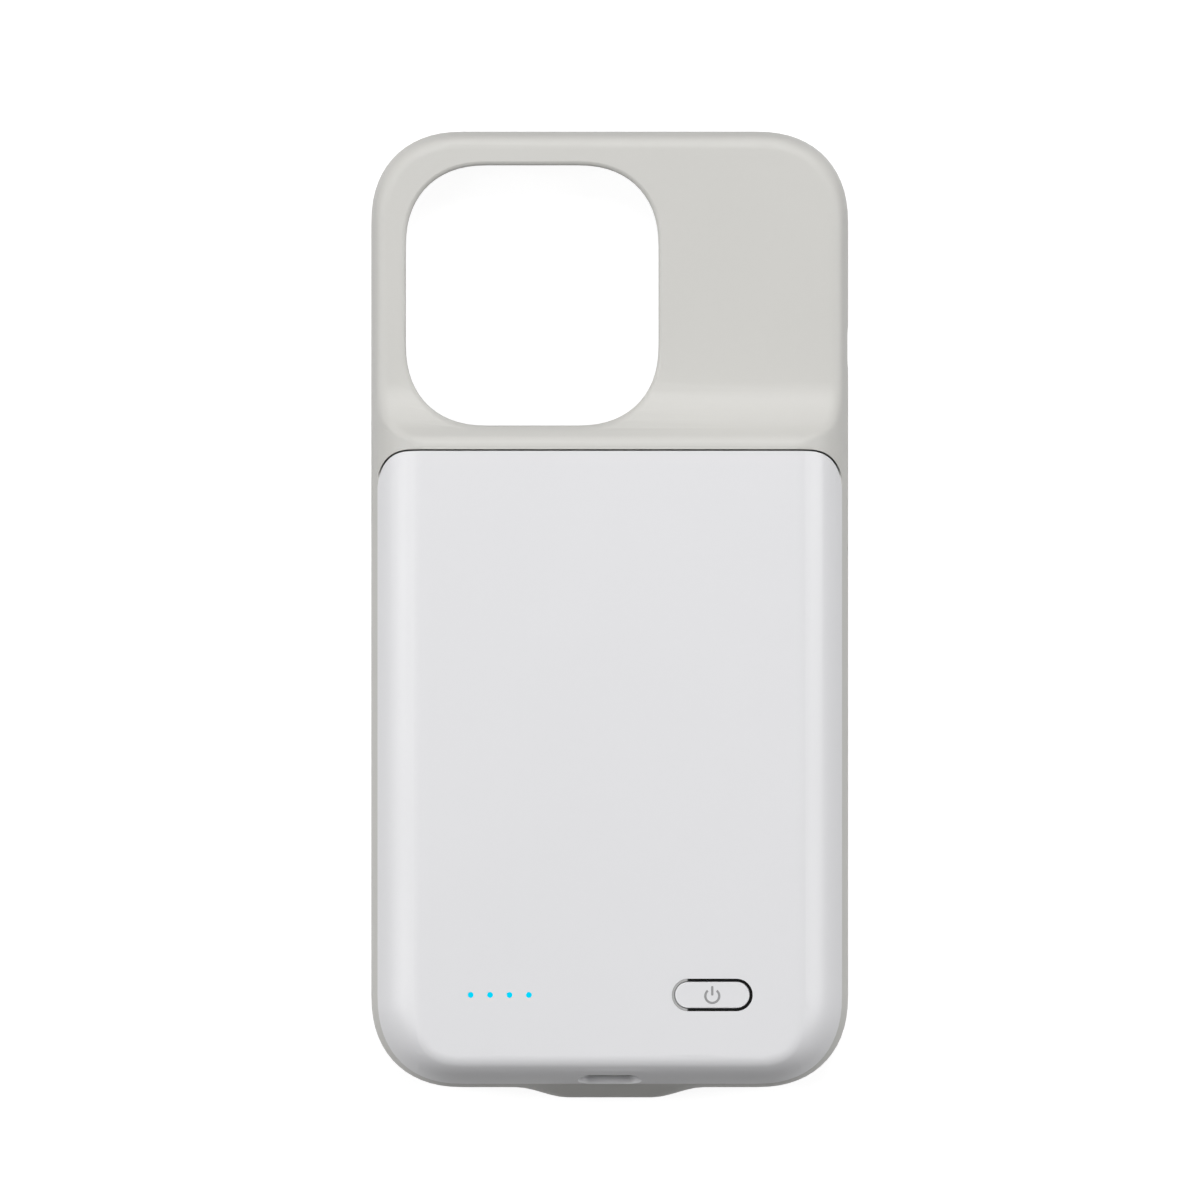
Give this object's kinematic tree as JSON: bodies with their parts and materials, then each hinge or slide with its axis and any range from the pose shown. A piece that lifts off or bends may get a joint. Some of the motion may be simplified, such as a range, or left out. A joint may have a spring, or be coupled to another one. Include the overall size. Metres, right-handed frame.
{
  "type": "back clip power bank",
  "caption": "Soft phone case with a white battery housing on its back, a camera window, a plug for the phone, a charging port, charge lights and a pill-shaped power button.",
  "frame": {"origin": "middle of the case on the plane of its open front rim, which it rests on", "axes": "+Y towards the camera end, +Z out of the back, +X to the right when the back is seen with the camera end up"},
  "size_m": [0.075, 0.1518, 0.017],
  "materials": {
    "soft_grey": "matt soft-touch moulding",
    "white_shell": "fine satin",
    "tray_grey": "matt",
    "cell_foil": "satin pouch foil",
    "foam": "matt",
    "board": "solder resist",
    "nickel": "strip",
    "steel": "satin",
    "black_plastic": "matt",
    "ring_black": "gloss",
    "light_blue": "lit clear moulding",
    "led": "lamp",
    "dark_ferrite": "matt",
    "ceramic_tan": "gloss",
    "amber_film": "film"
  },
  "bodies": {
    "case": {"soft_frame": "soft_grey", "battery_cover": "white_shell", "inner_tray": "tray_grey", "battery_cell": "cell_foil", "cell_pad": "foam", "cell_protection_board": "board", "positive_lead": "nickel", "negative_lead": "nickel", "circuit_board": "board", "board_screws": "steel", "charge_port_shell": "steel", "charge_port_tongue": "black_plastic", "switch_body": "steel", "button_ring": "ring_black", "light_guide": "light_blue", "status_led_1": "led", "status_led_2": "led", "status_led_3": "led", "status_led_4": "led", "control_chip": "black_plastic", "charge_chip": "black_plastic", "power_inductor": "dark_ferrite", "capacitors": "ceramic_tan", "plug_shell": "steel", "plug_insert": "black_plastic", "plug_board": "board", "plug_flex": "amber_film"},
    "power_key": {"power_button": "white_shell", "switch_plunger": "black_plastic"}
  },
  "joints": [
    {"name": "power_button_press", "type": "slide", "parent": "case", "child": "power_key", "axis": [0, 0, -1], "range_m": [0, 0.00035], "stiffness_N_per_m": 2000}
  ]
}
